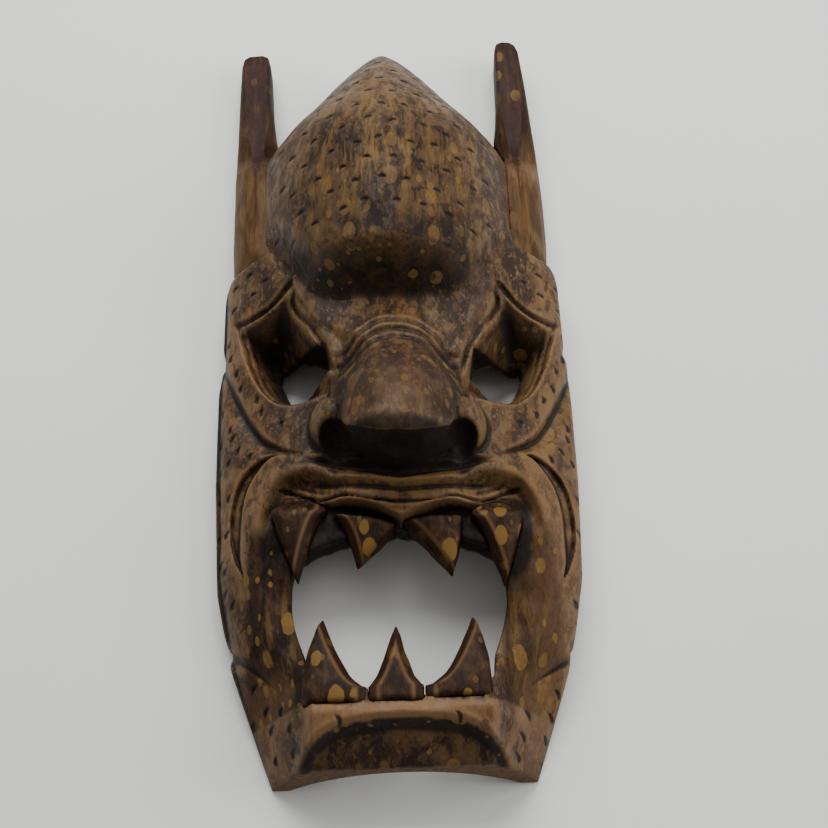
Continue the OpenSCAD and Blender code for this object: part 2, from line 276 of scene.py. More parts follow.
# Half-width of the nose's flatter front between its two arrises
NOSE_FRONT = [(-70, 21), (-58, 20), (-45, 17), (-30, 12), (-18, 9), (-8, 14), (4, 32), (24, 52)]


def nose():
    """The nose's front; it carries on below the tip, where carved_front cuts its underside."""
    across = U / table(RIDGE_WIDTHS, V)
    top = table(RIDGE_HEIGHTS, V)
    ball = mix(40.0, top, bulge(across, 2.0, 0.62))
    front = top - 0.008 * U ** 2 - 1.15 * np.maximum(0, U - table(NOSE_FRONT, V))
    return np.where(across > 1, 0.0, soft_min(ball, np.maximum(front, 44), mix(2.0, 8.0, ease(-30, -8, V))))


def wing():
    """The wing of the nose beside each nostril."""
    off = np.hypot((U - 27.5) / 11.5, (V + 50) / 14)
    return np.where(off > 1, 0.0, 38 + 23 * bulge(off, 2, 0.5))


# ---------------- lines and outlines of the carving

# Edge of the eye socket just inside its lids
SOCKET = [(47, 24), (52, 18.5), (58, 14), (65, 11), (71, 12.5), (71, 2), (67, -11), (61, -24), (54, -32.5),
          (46, -35), (38, -34), (31, -31), (29.5, -25), (31.5, -17), (35, -8), (40, 4), (45, 17)]
BROW_CREASE = [(45, 33), (49, 27), (55, 20), (62, 16), (71, 15), (78, 19)]
LID = [(47, 27), (50, 21.5), (58, 15), (67, 12), (74, 14.5)]
NOSE_STRIP = [(47, 25), (48, 16), (41, 4), (34.5, -8), (31, -19), (29, -27)]
LOWER_LID = [(76, 17), (73, 8), (70, 0), (66, -15), (60, -28), (51, -36.5)]
CHEEK_GROOVE = [(87, 9), (82, 5), (79, -7), (75, -18), (71, -29), (66.5, -39), (61, -48.5), (55, -54),
                (48, -58), (40, -61.5), (35, -63)]
# Crescent-shaped gouge in the cheek, round the corner of the mouth
CRESCENT = [(49, -58.8), (58, -59.3), (65.5, -64.5), (69.8, -71), (72, -81), (72.3, -92), (71, -103),
            (68, -113), (64.5, -121.5)]
LIP_RING = [(0, -75.5), (20, -74), (30, -70.5), (41, -68), (53, -70.5), (60.5, -80.5), (63.5, -95),
            (63, -109), (61, -125), (57, -140), (50, -154), (43, -166)]
NOSE_FOOT = [(0, -67.5), (12, -66.7), (24, -65), (34, -63), (44, -61)]
LIP_WAVE = [(0, -85.5), (8, -85), (15, -84), (21, -82), (29, -81.3), (34, -81.3), (39, -79.5), (44, -77),
            (50, -75), (55, -76)]
LIP_GROOVE = [(0, -71.3), (12, -70.3), (24, -68.3), (34, -66), (44, -64)]
LOWER_LIP_GROOVE = [(0, -79.3), (12, -78), (22, -77), (32, -75.5), (42, -73.5)]
LIP_CORNER = [(27, -79), (33, -78), (40, -75.5), (46, -73.5)]
LIP_RIDGE = [(0, -88.2), (8, -87.2), (14, -85.2), (20, -83.4), (26, -83.2), (33, -84.6), (38, -84)]
# Hollow that the root of each outer upper tooth stands in
TUSK_BED = [(28, -86), (31, -83), (37, -81), (43, -79), (50, -78.5), (55, -83), (56, -93), (54.5, -104),
            (49, -113), (42, -112), (35, -101), (30, -93)]
# Recess behind the upper lip, down to the edge of the mouth
GUM = [(0, -92.5), (8, -89), (14, -86.5), (21, -84.8), (28, -84.8), (32, -87), (36, -94), (44, -107),
       (40, -112), (24, -106)]
JAW_NOTCH = [(84, -134), (75, -142), (68, -147), (60, -154), (53, -161), (47, -170)]
CHIN_RECESS = [(47, -204), (43, -196), (35, -186), (22, -180.5), (0, -178.8)]
CHIN_ARRIS = [(50, -165), (45, -171), (37, -175), (38, -183), (43.5, -193)]


# ---------------- the carving

GUM_HEIGHT = 35.0
TUSK_BED_HEIGHT = 35.5
VISOR_FOOT, VISOR_TOP = 14, 31

socket_edge = outline_distance(SOCKET)
gum_edge = outline_distance(both_sides(GUM), per_span=6)
bed_edge = outline_distance(TUSK_BED)
recess_edge = outline_distance(both_sides(CHIN_RECESS), per_span=6)
# The ball of the nose stands out over its own foot, so its front is a map of its own
nose_foot = -69.5 + 8.5 * np.minimum(U / 21, 1.3) ** 2
nose_ball = (V > nose_foot - 3) & (V < nose_foot + 24) & (U < table(RIDGE_WIDTHS, V) - 1)
overhang = nose() + 0.3 * wander(X, Y, 5.0, 3) + 0.15 * wander(X, Y, 2.1, 4)


def block_out():
    """Cheeks, nose and its wings before any carving."""
    above_foot = nose() * ease(nose_foot + 2, nose_foot + 9, V)
    height = soft_max(cheek(), above_foot, mix(3.0, 9.0, ease(-30, -8, V)))
    return soft_max(height, wing(), 5.0)


def carve_eyes(height):
    """Sockets with their lids."""
    fall = blurred(31 * ease(-1.5, 17, -socket_edge) ** 0.85, 5.0)
    height = height - np.where(socket_edge < 1.5, fall * ease(1.5, -0.5, socket_edge), 0)
    height += cut(BROW_CREASE, 1.5, 4.0, 2.8, 0.2, 0.2)
    height += ridge(LID, 1.0, 1.1, 0.1, 0.2)
    height += (ridge(NOSE_STRIP, 1.1, 1.3, 0.1, 0.1)
               + cut(shifted(NOSE_STRIP, -1.8, 1.2), 1.4, 1.4, 1.6, 0.1, 0.15))
    height += ridge(LOWER_LID, 0.9, 1.0, 0.1, 0.2)
    height += cut(shifted(LOWER_LID, -2.2, 0.8), 1.5, 1.2, 1.3, 0.1, 0.2)
    return height + cut(shifted(LOWER_LID, -4.8, 2.2), 1.5, 1.2, 1.2, 0.2, 0.3)


def carve_bridge(height):
    """Three folds over the bridge of the nose."""
    for peak, foot, rise in ((3.5, -11, 0.8), (-2.5, -17, 1.1), (-9.5, -23, 1.0)):
        fold = [(-4, peak), (4, peak - 0.3), (10, peak - 2.5), (17, peak - 8.5), (24, foot - 1), (32, foot)]
        height += ridge(fold, 1.6, rise, 0.0, 0.3)
        height += cut(shifted(fold, 0, -2.9), 1.6, 2.4, 1.2 * rise, 0.0, 0.3)
    return height


def carve_cheeks(height):
    """The groove from the eye to the wing of the nose, and the crescent round the mouth's corner."""
    height += cut(CHEEK_GROOVE, 7.0, 1.6, 4.6, 0.0, 0.35)
    dist, along, _ = line_distance(smooth_line(CRESCENT), 7)
    crescent = ease(0, 1.2, 3.3 * fade(along, 0.3, 0.45) - dist)
    return height - crescent * (3.4 + 0.3 * wander(X, Y, 1.6, 8))


def carve_lips(height):
    """The roll round the mouth, the rolls of the upper lip and the recesses that the teeth stand in."""
    dist, along, side = line_distance(smooth_line(LIP_RING), 30)
    inner = np.where(side < 0, dist, 0) * (1 - ease(-150, -166, V))
    aside = ease(20, 50, U)
    height += mix(2.0, 2.6, aside) * np.exp(-(dist / mix(2.0, 4.0, aside)) ** 2) * (1 - ease(0.85, 1, along))
    by_tusks = ease(-96, -80, V) * ease(16, 34, U)
    height -= mix(4.5 * ease(0, 14, inner), 6.0 * ease(1, 7, inner), by_tusks) * ease(12, 38, U)
    height += ridge(NOSE_FOOT, 1.3, 2.2, 0, 0.3)
    height += cut(LIP_GROOVE, 3.0, 2.2, 2.4, 0, 0.3)
    height += cut(LOWER_LIP_GROOVE, 3.0, 2.2, 2.4, 0, 0.4)
    height += cut(LIP_WAVE, 1.1, 1.1, 2.2, 0, 0.12)
    height += ridge(LIP_RIDGE, 1.2, 1.6, 0, 0.2)
    height += cut(LIP_CORNER, 0.9, 0.9, 1.2, 0.2, 0.3)
    height = mix(height, np.minimum(height, GUM_HEIGHT), ease(0.8, -0.8, gum_edge))
    return mix(height, np.minimum(height, TUSK_BED_HEIGHT), ease(0.8, -2.2, bed_edge))


def carve_jaw(height):
    """The notch between cheek and jaw, the chin's corner and the recess below it."""
    height += cut(JAW_NOTCH, 3.2, 2.4, 3.8, 0.0, 0.8)
    height += cut(shifted(JAW_NOTCH[:5], 1.5, -4.5), 1.3, 1.3, 1.2, 0.1, 0.6)
    height += ridge(CHIN_ARRIS, 1.6, 0.8, 0.2, 0)
    return height - (4.2 * ease(0.3, -3.6, recess_edge) - 0.9 * np.exp(-((recess_edge - 1.3) / 1.3) ** 2))


def add_forehead(height):
    """The forehead, whose visor stands over the eyes and draws back at both sides."""
    back_off = table([(0, 0), (28, 1), (36, 5), (43, 15), (50, 26), (58, 36), (90, 60)], U, 4)
    return mix(height, dome(), ease(VISOR_FOOT + back_off, VISOR_TOP + 1.1 * back_off, Y))


def roughen(height):
    """Tool marks all over, and rougher ones on the bands beside the mouth."""
    height = height + (0.35 * wander(X, Y, 5.0, 3) + 0.16 * wander(X, Y, 2.1, 4)) * ease(0, 10, height)
    band = ease(38, 43, U) * ease(60, 54, U) * ease(-96, -106, V) * ease(-172, -162, V)
    return height + 0.45 * wander(X, Y, 3.1, 6) * band


height = block_out()
for carve in (carve_eyes, carve_bridge, carve_cheeks, carve_lips, carve_jaw, add_forehead, roughen):
    height = carve(height)
height = np.maximum(height, 1.0)

# ---------------- gouge marks

# Rows of small marks: line, spacing and angle
PUNCH_ROWS = (
    ([(80, 24), (72, 26), (62, 30), (54, 38)], 9, 1.2),
    ([(80, 36), (70, 38), (60, 45)], 9, 1.2),
    ([(78, 12), (76, -2), (71, -17), (65, -29), (57, -40), (48, -47)], 9.5, 0.2),
    ([(80, -20), (80.5, -60), (79.5, -100), (76, -130)], 15, 0.2),
    ([(76.5, -30), (76, -70), (76.5, -100), (72, -125)], 17, 0.2),
    ([(76, -40), (71, -52), (66, -58)], 8, 0.5),
    ([(74, -150), (68, -165), (62, -186)], 9, 0.4),
    ([(66, -155), (60, -166), (54, -190)], 10, 0.4),
    ([(52, -168), (47, -178), (45, -190)], 9, 0.4),
)
marks = np.zeros(X.shape)
chance = np.random.default_rng(11)


def punch(x, y, angle, long=2.3, wide=1.6, deep=1.4):
    """One thumbnail-shaped gouge mark: steep on one side and fading out on the other."""
    i, j = int((x - xs[0]) / STEP), int((y - ys[0]) / STEP)
    part = (slice(max(0, i - 6), i + 7), slice(max(0, j - 6), j + 7))
    dx, dy = X[part] - x, Y[part] - y
    a = dx * math.cos(angle) + dy * math.sin(angle)
    b = -dx * math.sin(angle) + dy * math.cos(angle)
    a = a + 0.22 * b * b
    across = np.clip(1 - np.where(a > 0, a / wide, -a / (0.5 * wide)), 0, 1)
    stamp = across * np.clip(1 - (b / long) ** 2, 0, 1)
    height[part] -= deep * stamp * (height[part] > 12)
    marks[part] = np.maximum(marks[part], stamp)


def punch_row(points, spacing, angle):
    """Marks along a line, on both sides of the face."""
    line = smooth_line(points)
    steps = np.concatenate([[0], np.cumsum(np.hypot(*np.diff(line, axis=0).T))])
    for s in np.arange(spacing / 2, steps[-1], spacing):
        for side in (-1, 1):
            u, v = np.interp(s, steps, line[:, 0]), np.interp(s, steps, line[:, 1])
            x = side * u + MIDDLE_X + chance.normal(0, 0.7)
            y = v - SKEW * x + chance.normal(0, 0.7)
            punch(x, y, (angle if side > 0 else math.pi - angle) + chance.normal(0, 0.2))


def punch_forehead(rows=11, row_pitch=12.2, spacing=12.0, half_width=54):
    """Staggered rows of marks that bend down towards the sides of the forehead."""
    for row in range(rows):
        y = 47 + row_pitch * row
        reach = half_width * math.sqrt(max(0, 1 - max(0, (y - 95) / 80) ** 2))
        for x in np.arange(-half_width + 0.5 * spacing * (row % 2), half_width + 1, spacing):
            if abs(x) < reach:
                punch(x - 2 + chance.normal(0, 0.9), y + chance.normal(0, 0.9) - 6 * (x / 48) ** 2,
                      math.pi / 2 + chance.normal(0, 0.3))


punch_forehead()
for row_line, spacing, angle in PUNCH_ROWS:
    punch_row(row_line, spacing, angle)
# Two larger and shallower marks in the chin above its recess
for x in (-25, 23):
    punch(x, -180, 0.3, 3.0, 1.4, 0.8)

# ---------------- maps of the stain, painted shade and painted sheen

surface = np.where(nose_ball, np.maximum(height, overhang), height)
relief = surface - blurred(surface, 3.0)
# Painted shade: surfaces that face the chin, away from the overhead lamp, are darkened to near-black
under = ease(0.45, 1.5, np.gradient(blurred(surface, 1.5), STEP, axis=1))
under *= 1 - 0.8 * ease(-68.5, -71, V) * ease(-96, -92, V)
# Ochre streaks: forehead, edge of the chin, below the mouth's corners, beside the nose, upper lip,
# right cheek and bridge
ochre = (np.exp(-((X + 4) / 34) ** 2 - ((Y - 84) / 46) ** 2)
         + 0.9 * ease(-162, -167, V) * ease(-180, -175, V) * ease(40, 34, U)
         + 0.6 * np.exp(-((U - 50) / 9) ** 2) * ease(-170, -160, V) * ease(-112, -135, V)
         + 0.6 * np.exp(-((U - 42) / 9) ** 2 - ((V + 47) / 12) ** 2)
         + 1.0 * ease(60, 40, U) * np.exp(-((V + 77) / 5.5) ** 2)
         + 0.5 * np.exp(-((X - 66) / 12) ** 2 - ((V + 45) / 30) ** 2)
         + 0.5 * np.exp(-(U / 22) ** 2 - ((V + 12) / 12) ** 2))
# Painted sheen in pinkish tan: tip of the nose, chin above its recess, right cheek, jaws and upper lip
pink_sheen = (0.36 * np.exp(-(U / 15) ** 2 - ((V + 52) / 15) ** 2) * (V > -72)
        + 0.9 * ease(-173.0, -174.5, V) * ease(-188, -186, V) * ease(42, 37, U) * (recess_edge > -0.5)
        + 0.35 * ease(48, 62, X) * ease(-40, -90, Y) + 0.35 * ease(40, 52, U) * ease(-145, -165, V)
        + 0.5 * np.exp(-(U / 26) ** 2 - ((V + 75) / 2.2) ** 2))
# Painted shade in the cavities round the teeth and under the nose
shade = np.maximum(ease(1.0, -1.0, gum_edge), ease(1.0, -1.0, bed_edge))
shade = np.maximum(shade, 0.9 * ease(-60, -65, V) * ease(-70, -67.5, V) * ease(38, 30, U))
# Darker parts: painted shade in the eye sockets, on the middle of the forehead and on the nose's front; the
# mouth's bands, the chin's recess, the upper lip and the gum at the lower teeth are darker too
socket_shade = 0.95 * ease(3, 14, -socket_edge)
mouth_band = 1.2 * ease(39, 43, U) * ease(69, 63, U) * ease(-88, -100, V)
chin_recess = 0.6 * ease(0.5, -1.0, recess_edge)
upper_lip = 0.25 * ease(-82, -85, V) * ease(-98, -92, V) * ease(58, 50, U)
lower_gum = 0.45 * ease(-174, -171, V) * ease(-160, -165, V) * ease(48, 44, U)
forehead_shade = 0.68 * ease(118, 84, V) * ease(52, 22, U) * (V > 30)
nose_front_shade = 0.66 * ease(-8, -18, V) * ease(-62, -56, V) * ease(30, 24, U)
dark = np.maximum(socket_shade, mouth_band) * (V > -172)
for part in (chin_recess, upper_lip, lower_gum, forehead_shade, nose_front_shade):
    dark = np.maximum(dark, part)


# ---------------- meshing


def surface_net(field, origin, step):
    """Quad mesh of the surface where a field on a grid is zero; the solid is where it is negative."""
    corners = [(0, 0, 0), (1, 0, 0), (0, 1, 0), (1, 1, 0), (0, 0, 1), (1, 0, 1), (0, 1, 1), (1, 1, 1)]
    pairs = [(a, b) for a in range(8) for b in range(a + 1, 8)
             if sum(abs(corners[a][k] - corners[b][k]) for k in range(3)) == 1]
    inside = field < 0
    nx, ny, nz = (n - 1 for n in field.shape)
    count = np.zeros((nx, ny, nz), np.int8)
    for (i, j, k) in corners:
        count += inside[i:i + nx, j:j + ny, k:k + nz]
    cells = np.argwhere((count > 0) & (count < 8))
    ci, cj, ck = cells.T
    values = np.stack([field[ci + i, cj + j, ck + k] for (i, j, k) in corners], 1)
    total = np.zeros((len(cells), 3))
    hits = np.zeros(len(cells))
    for a, b in pairs:
        va, vb = values[:, a], values[:, b]
        cross = (va < 0) != (vb < 0)
        t = np.where(cross, va / np.where(cross, va - vb, 1), 0)
        ca, cb = np.array(corners[a], float), np.array(corners[b], float)
        total += np.where(cross[:, None], ca + t[:, None] * (cb - ca), 0)
        hits += cross
    points = (cells + total / hits[:, None]) * step + np.array(origin)
    index = np.full((nx, ny, nz), -1, np.int32)
    index[ci, cj, ck] = np.arange(len(cells))
    quads = []
    for axis in range(3):
        low = [slice(1, -1)] * 3
        low[axis] = slice(0, -1)
        high = list(low)
        high[axis] = slice(1, None)
        first, second = inside[tuple(low)], inside[tuple(high)]
        edges = np.argwhere(first != second)
        flip = second[tuple(edges.T)]
        edges += [0 if k == axis else 1 for k in range(3)]
        b, c = (axis + 1) % 3, (axis + 2) % 3
        ring = []
        for db, dc in ((-1, -1), (0, -1), (0, 0), (-1, 0)):
            cell = edges.copy()
            cell[:, b] += db
            cell[:, c] += dc
            ring.append(index[tuple(cell.T)])
        quad = np.stack(ring, 1)
        quad[flip] = quad[flip][:, ::-1]
        quads.append(quad)
    return points, np.vstack(quads)


def mesh_piece(name, points, faces, attributes):
    """A mesh object from points in millimetres; each attribute holds one number for each point."""
    mesh = bpy.data.meshes.new(name)
    mesh.vertices.add(len(points))
    mesh.vertices.foreach_set("co", (np.asarray(points) * MM).astype(np.float32).ravel())
    size = faces.shape[1]
    mesh.loops.add(faces.size)
    mesh.loops.foreach_set("vertex_index", faces.astype(np.int32).ravel())
    mesh.polygons.add(len(faces))
    mesh.polygons.foreach_set("loop_start", np.arange(len(faces), dtype=np.int32) * size)
    mesh.polygons.foreach_set("loop_total", np.full(len(faces), size, np.int32))
    mesh.update(calc_edges=True)
    mesh.validate()
    mesh.shade_smooth()
    for key, values in attributes.items():
        layer = mesh.attributes.new(key, "FLOAT", "POINT")
        layer.data.foreach_set("value", values.astype(np.float32))
    piece = bpy.data.objects.new(name, mesh)
    bpy.context.scene.collection.objects.link(piece)
    return piece


def on_grid(values, points):
    """Values of a map over the mask at the given points."""
    i = np.clip((points[:, 0] - xs[0]) / STEP, 0, len(xs) - 1.001)
    j = np.clip((points[:, 1] - ys[0]) / STEP, 0, len(ys) - 1.001)
    i0, j0 = i.astype(int), j.astype(int)
    fi, fj = i - i0, j - j0
    return (values[i0, j0] * (1 - fi) * (1 - fj) + values[i0 + 1, j0] * fi * (1 - fj)
            + values[i0, j0 + 1] * (1 - fi) * fj + values[i0 + 1, j0 + 1] * fi * fj)


def block(low, high, step):
    """Coordinate grids over a box."""
    lines = [np.arange(a, b + step, step) for a, b in zip(low, high)]
    return np.meshgrid(*lines, indexing="ij")


def layer(values):
    """A map over the mask as one layer of a 3-D grid."""
    return values[:, :, None].astype(np.float32)


# ---------------- teeth

# root: middle of the root; up: direction of the point; lean: how far the point stands aside; curves: how
# the left and right sides run (below 1 they curve in, above 1 they swell); tilt: slope of the root; foot:
# length of the straight part above the root
Tooth = namedtuple("Tooth", "root up width length lean curves tilt foot")
TEETH = {
    "upper_left_tusk": Tooth((-41.5, -86.0, 35.0), -1, 23.6, 31.5, -0.5, (1.15, 0.60), 0.0, 0.0),
    "upper_left_fang": Tooth((-14.8, -90.0, 35.0), -1, 28.6, 21.5, -2.3, (0.42, 1.12), -0.20, 0.0),
    "upper_right_fang": Tooth((14.5, -91.0, 35.0), -1, 26.0, 25.5, 8.2, (0.85, 2.0), 0.05, 0.0),
    "upper_right_tusk": Tooth((42.5, -90.0, 35.0), -1, 22.5, 32.0, 2.0, (0.65, 1.15), 0.0, 0.0),
    "lower_left_fang": Tooth((-26.7, -173.0, 36.0), 1, 25.8, 40.0, -5.0, (2.0, 0.56), 0.0, 6.5),
    "lower_middle_fang": Tooth((-2.0, -173.0, 36.0), 1, 22.2, 38.0, 0.6, (0.70, 0.60), 0.0, 6.5),
    "lower_right_fang": Tooth((23.2, -172.0, 36.0), 1, 26.8, 38.0, 7.0, (0.52, 2.2), 0.0, 5.5),
}
TOOTH_STEP = 0.5


def box_distance(x, y, z, low, high):
    """Distance field of a box."""
    flat = np.maximum(np.maximum(low[0] - x, x - high[0]), np.maximum(low[1] - y, y - high[1]))
    return np.maximum(flat, np.maximum(low[2] - z, z - high[2]))


def tooth_field(name, x, y, z):
    """Distance field of a tooth with its tenon; its front bends over towards the point, and the sides
    that curve in have a wider bevel."""
    (rx, ry, rz), up, width, length, lean, (curve_left, curve_right), tilt, foot = TEETH[name]
    x = x - rx
    y = up * (y - ry - tilt * x)
    z = z - rz
    k = np.clip((y - foot) / (length - foot), 0, 1)
    half = width / 2
    left = -half + (lean + half) * k ** curve_left
    right = half + (lean - half) * k ** curve_right
    slope_left = np.gradient(left, axis=1) / np.gradient(y, axis=1)
    slope_right = np.gradient(right, axis=1) / np.gradient(y, axis=1)
    edge_left = (left - x) / np.sqrt(1 + np.clip(slope_left, -4, 4) ** 2)
    edge_right = (x - right) / np.sqrt(1 + np.clip(slope_right, -4, 4) ** 2)
    tusk = name.endswith("tusk")
    crown = np.hypot(x - 0.4 * lean, 1.6 * np.minimum(y, 0)) - half if tusk else -99.0
    root = -7.2 - y if tusk else -y
    sides = np.maximum(np.maximum(edge_left, edge_right), crown)
    sides = soft_max(sides, np.maximum(y - length, root), 1.2)
    front = mix(7.6, 0.6, k ** 1.5) - 0.016 * (x - lean * k) ** 2
    front = front - (7.0 * ease(4, -7.5, y) ** 1.5 if tusk else 0.8 * ease(2, 0, y))
    for edge, curve in ((edge_left, curve_left), (edge_right, curve_right)):
        bevel, steepness = (3.2, 0.9) if curve < 1 else (1.6, 0.5)
        front = front - steepness * np.clip(bevel + edge, 0, bevel) * ease(0.02, 0.2, k)
    back = -0.45 * TOOTH_THICK + 2.5 * k
    body = soft_max(sides, np.maximum((z - front) * 0.85, back - z), 0.8)
    tenon = box_distance(x, y, z, (-0.3 * width, -TENON_LENGTH, -0.45 * TOOTH_THICK),
                         (0.3 * width, 2, -0.07 * TOOTH_THICK))
    return np.minimum(body, tenon)


def make_tooth(name):
    """A tooth with its tenon, a little uneven as carving leaves it."""
    (rx, ry, rz), up, width, length, lean, curves, tilt, foot = TEETH[name]
    ends = sorted((ry - up * (TENON_LENGTH + 5), ry + up * (length + 3)))
    low, high = (rx - width / 2 - 2, ends[0], rz - 8), (rx + width / 2 + 2, ends[1], rz + 10)
    x, y, z = block(low, high, TOOTH_STEP)
    field = tooth_field(name, x, y, z) + 0.15 * wander(x + z, y, 2.2, len(name))
    points, faces = surface_net(field, (x[0, 0, 0], y[0, 0, 0], z[0, 0, 0]), TOOTH_STEP)
    px = points[:, 0] - rx
    py = up * (points[:, 1] - ry - tilt * px)
    k = np.clip((py - foot) / (length - foot), 0, 1)
    # Distance in from the sides that curve in
    gaps = []
    for side, curve in zip((-1, 1), curves):
        edge = side * width / 2 + (lean - side * width / 2) * k ** curve
        gaps.append(np.where(curve < 1, side * (edge - px), 99.0))
    inner = np.minimum(*gaps) * mix(0.75, 1.0, k)
    front = ease(-2.0, 0.0, points[:, 2] - rz)
    attributes = {
        "point": k,
        "root": ease(1.5, -0.5, py) * (0.0 if name.endswith("tusk") else 1.0),
        "bevel": ease(2.6, 1.9, inner),
        "edge": np.exp(-((inner - 3.1) / 0.7) ** 2) * front,
    }
    return mesh_piece(name + "_carved", points, faces, attributes)


# ---------------- the body

BODY_OUTLINE = ([(w, y) for y, w in HALF_WIDTHS]
                + [(66, 49.3), (66, 111), (57, 117), (53, 127), (45, 141), (33, 155), (21, 166.5), (10, 176),
                   (0, 180)])
HOLLOW_OUTLINE = ([(0, -206), (44, -206)] + [(w - WALL, y) for y, w in HALF_WIDTHS if y < 40]
                  + [(46, 50), (46, 104), (38, 120), (22, 131), (0, 134)])
MOUTH = [(0, -165.5), (34, -165.5), (39, -150), (43.5, -136), (45.5, -121), (42, -106), (24, -98), (0, -94)]
EYE_HOLE = [(31, -21), (50, -21), (56, -6), (55, -1), (33, -8)]
# Middle and half-axes of the nostrils and of the hollow under the ball of the nose between them
NOSTRILS = (((27.5, -66, 56), (9.0, 13, 13)), ((0, -79, 66), (18, 13, 18)))
# The low arch under the chin: its height, half its width and where it ends
ARCH_RISE, ARCH_HALF, ARCH_END = 19.0, 47.0, -158


def keyhole_recess(x, y, z):
    """Recess of the hanger plate, with room for a nail's head behind its keyhole and two screw holes."""
    straight = (PLATE_LENGTH - PLATE_WIDTH) / 2
    plate = np.hypot(x, np.maximum(np.abs(y - PLATE_Y) - straight, 0)) - PLATE_WIDTH / 2
    recess = np.maximum(plate - 0.05, z - PLATE_THICK)
    above_entry = y - (PLATE_Y - 4)
    head_room = np.hypot(x, above_entry - np.clip(above_entry, 0, 9)) - 5.5
    recess = np.minimum(recess, np.maximum(head_room, z - 14))
    for end in (-1, 1):
        screw = np.hypot(x, y - PLATE_Y - end * (PLATE_LENGTH / 2 - 5)) - 1.7
        recess = np.minimum(recess, np.maximum(screw, z - 12.5))
    return recess


def dowel_field(side, x, y, z):
    """The two dowel holes across a horn's seat."""
    holes = [np.hypot(y - dowel_y, z - DOWEL_Z) - DOWEL_RADIUS - GLUE for dowel_y in DOWEL_YS]
    return np.maximum(np.minimum(*holes), np.abs(x - side * HORN_SEAT) - DOWEL_REACH)


def hollow_ceiling():
    """Height of the hollow back, with the scoops of the gouge that cut it."""
    u = np.abs(X)
    arched = bulge(u / (table(HALF_WIDTHS, Y) - WALL), 2.4, 0.6)
    in_face = mix(12.0, 24.0, arched) * ease(-196, -170, Y)
    in_dome = mix(12.0, 62.0, bulge(np.hypot(u / 48, np.maximum(0, Y - 70) / 66), 2.4, 0.5))
    ceiling = mix(in_face, in_dome, ease(40, 62, Y))
    lanes = (X + 0.8 * wander(X, Y, 20, 5)) / 8.5
    lane = np.round(lanes)
    strokes = (Y + 9 * np.sin(lane * 2.1)) / 21.0
    scoops = 1.1 * (1 - 4 * (lanes - lane) ** 2) + 0.7 * (1 - 4 * (strokes - np.round(strokes)) ** 2)
    ceiling = ceiling - 1.6 + scoops * ease(0, 8, ceiling)
    skin = WALL - 4 * (1 - ease(15, 40, height))
    return np.minimum(ceiling, blurred(height, 3.0) - skin)


def carved_front(z, edge):
    """Distance field of the carved front with the nose's underside, the nostrils and the side walls."""
    slope_x, slope_y = np.gradient(height, STEP)
    slope = np.sqrt(1 + slope_x * slope_x + slope_y * slope_y)
    field = ((z - height[:, :, None]) / slope[:, :, None]).astype(np.float32)
    ball = layer(np.where(nose_ball, overhang, -99.0))
    field = np.minimum(field, soft_max((z - ball) * 0.8, layer(nose_foot - V), 2.5))
    for (u, v, middle_z), (u_axis, v_axis, z_axis) in NOSTRILS:
        off = np.sqrt(((layer(U) - u) / u_axis) ** 2 + ((layer(V) - v) / v_axis) ** 2
                      + ((z - middle_z) / z_axis) ** 2)
        field = soft_max(field, -(off - 1) * min(u_axis, v_axis), 1.5)
    field = soft_max(field, layer(edge), 2.0)
    seat = layer(np.where(Y > 49.5, np.abs(X) - HORN_SEAT, -99.0))
    return np.maximum(np.maximum(field, seat), -z)


def cut_openings(field, z, ceiling, hollow_edge):
    """Cuts out the hollow back, the mouth, the eye holes and the arch below the chin."""
    hollow = np.maximum(z - ceiling[:, :, None], hollow_edge[:, :, None])
    field = soft_max(field, -hollow.astype(np.float32), 2.0)
    mouth = outline_distance(both_sides(MOUTH), X, Y, per_span=6)
    field = soft_max(field, -layer(mouth), 1.5)
    for side in (-1, 1):
        slant = -SKEW * side * 42
        eye = [(EYES_X + side * x, y + slant) for x, y in EYE_HOLE]
        field = soft_max(field, -layer(outline_distance(eye, X, Y, smooth=False)), 1.5)
    radius = (ARCH_HALF ** 2 + ARCH_RISE ** 2) / (2 * ARCH_RISE)
    arch = np.maximum(np.hypot(layer(X), z - (ARCH_RISE - radius)) - radius, layer(Y) - ARCH_END)
    return soft_max(field, -arch.astype(np.float32), 1.5)


def cut_joints(field, z):
    """Cuts the sockets of the teeth, the holes of the dowels and the recess of the hanger."""
    x, y = layer(X), layer(Y)
    for name, tooth in TEETH.items():
        root_x, root_y, _ = tooth.root
        reach = tooth.width / 2 + 3
        ends = sorted((root_y - tooth.up * 14, root_y + tooth.up * (tooth.length + 2)))
        i = slice(*np.searchsorted(xs, (root_x - reach, root_x + reach)))
        j = slice(*np.searchsorted(ys, ends))
        gap = tooth_field(name, X[i, j, None], Y[i, j, None], z) - GLUE
        field[i, j] = np.maximum(field[i, j], -gap)
    j = slice(*np.searchsorted(ys, (DOWEL_YS[0] - 8, DOWEL_YS[1] + 8)))
    for side in (-1, 1):
        field[:, j] = np.maximum(field[:, j], -dowel_field(side, x[:, j], y[:, j], z))
    i = slice(*np.searchsorted(xs, (-12, 12)))
    j = slice(*np.searchsorted(ys, (PLATE_Y - 24, PLATE_Y + 24)))
    field[i, j] = np.maximum(field[i, j], -keyhole_recess(x[i, j], y[i, j], z))


